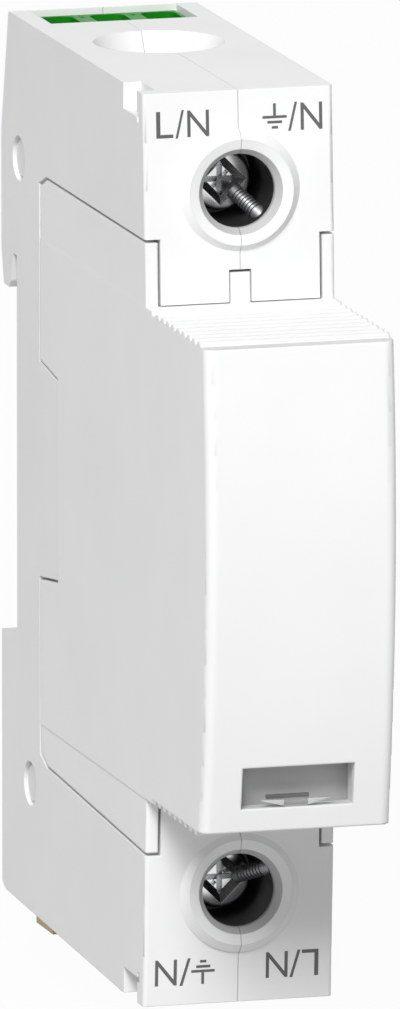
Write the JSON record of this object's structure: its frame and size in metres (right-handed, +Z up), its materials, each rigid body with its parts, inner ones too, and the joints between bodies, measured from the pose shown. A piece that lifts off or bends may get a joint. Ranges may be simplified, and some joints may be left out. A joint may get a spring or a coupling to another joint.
{
  "type": "din rail surge arrester",
  "caption": "Slim plug-in surge arrester for a top-hat rail, with a pull-out cartridge, clamp terminals above and below, a status window and a remote-signal plug.",
  "frame": {"origin": "middle of the plane of the rail's front face, at the mid height of the nose and the middle of the width", "axes": "+Z up along the height, +X to the right seen from the front, the front looks toward -Y"},
  "size_m": [0.018, 0.0706, 0.0869],
  "materials": {
    "base_plastic": "fine-textured white moulded polyamide",
    "cartridge_plastic": "smooth white moulded polyamide",
    "pin_plastic": "white moulded pins with round heads",
    "copper": "stamped copper alloy",
    "zinc_steel": "zinc-plated steel",
    "spring_steel": "spring steel",
    "clip_plastic": "yellowish moulded plastic",
    "green_plastic": "green moulded connector plastic",
    "dark_plastic": "dark moulded plastic",
    "red_plastic": "red moulded plastic",
    "flag_plastic": "white moulded plastic",
    "lens_clear": "smoked clear polycarbonate",
    "varistor_coat": "epoxy coating"
  },
  "bodies": {
    "base": {"base_left_shell": "base_plastic", "base_right_shell": "base_plastic", "case_rivets": "pin_plastic", "upper_busbar": "copper", "lower_busbar": "copper", "upper_contact_jaw": "copper", "lower_contact_jaw": "copper", "upper_screw_keeper": "zinc_steel", "lower_screw_keeper": "zinc_steel", "upper_screw_sleeve": "dark_plastic", "lower_screw_sleeve": "dark_plastic", "din_clip_spring": "spring_steel", "signal_header": "green_plastic", "signal_leads": "copper", "microswitch_body": "dark_plastic"},
    "cartridge": {"cartridge_shell": "cartridge_plastic", "cartridge_back_plate": "dark_plastic", "window_lens": "lens_clear", "status_plate": "red_plastic", "varistor_block": "varistor_coat", "varistor_left_electrode": "copper", "varistor_right_electrode": "copper", "upper_blade": "copper", "lower_blade": "copper", "trip_spring": "spring_steel"},
    "trip_slider": {"indicator_flag": "flag_plastic", "disconnect_arm": "copper"},
    "upper_clamp_screw": {"upper_screw": "zinc_steel"},
    "upper_clamp_cage": {"upper_cage": "zinc_steel"},
    "lower_clamp_screw": {"lower_screw": "zinc_steel"},
    "lower_clamp_cage": {"lower_cage": "zinc_steel"},
    "rail_clip": {"din_clip": "clip_plastic"},
    "remote_plug": {"signal_plug": "green_plastic", "signal_plug_contacts": "spring_steel"},
    "switch_plunger": {"microswitch_plunger": "red_plastic"}
  },
  "joints": [
    {"name": "cartridge_pull", "type": "slide", "parent": "base", "child": "cartridge", "axis": [0, -1, 0], "range_m": [0, 0.058]},
    {"name": "trip_slide", "type": "slide", "parent": "cartridge", "child": "trip_slider", "axis": [0, 0, 1], "range_m": [0, 0.0048], "deforming": ["trip_spring"]},
    {"name": "upper_screw_turn", "type": "hinge", "parent": "base", "child": "upper_clamp_screw", "pos_m": [0, -0.03, 0.0332], "axis": [0, 1, 0], "range_deg": [0, 2945]},
    {"name": "upper_cage_draw", "type": "slide", "parent": "base", "child": "upper_clamp_cage", "axis": [0, -1, 0], "range_m": [0, 0.0065]},
    {"name": "lower_screw_turn", "type": "hinge", "parent": "base", "child": "lower_clamp_screw", "pos_m": [0, -0.03, -0.032], "axis": [0, 1, 0], "range_deg": [0, 2945]},
    {"name": "lower_cage_draw", "type": "slide", "parent": "base", "child": "lower_clamp_cage", "axis": [0, -1, 0], "range_m": [0, 0.0065]},
    {"name": "clip_release", "type": "slide", "parent": "base", "child": "rail_clip", "axis": [0, 0, -1], "range_m": [0, 0.0032], "stiffness_N_per_m": 2000, "springref_m": -0.002, "deforming": ["din_clip_spring"]},
    {"name": "plug_pull", "type": "slide", "parent": "base", "child": "remote_plug", "axis": [0, 0, 1], "range_m": [0, 0.012]},
    {"name": "plunger_press", "type": "slide", "parent": "base", "child": "switch_plunger", "axis": [0, 1, 0], "range_m": [0, 0.0008], "stiffness_N_per_m": 300, "springref_m": -0.001}
  ],
  "couplings": [
    {"joint": "upper_screw_turn", "follows": "upper_cage_draw", "rad_per_m": 7854},
    {"joint": "lower_screw_turn", "follows": "lower_cage_draw", "rad_per_m": 7854}
  ]
}
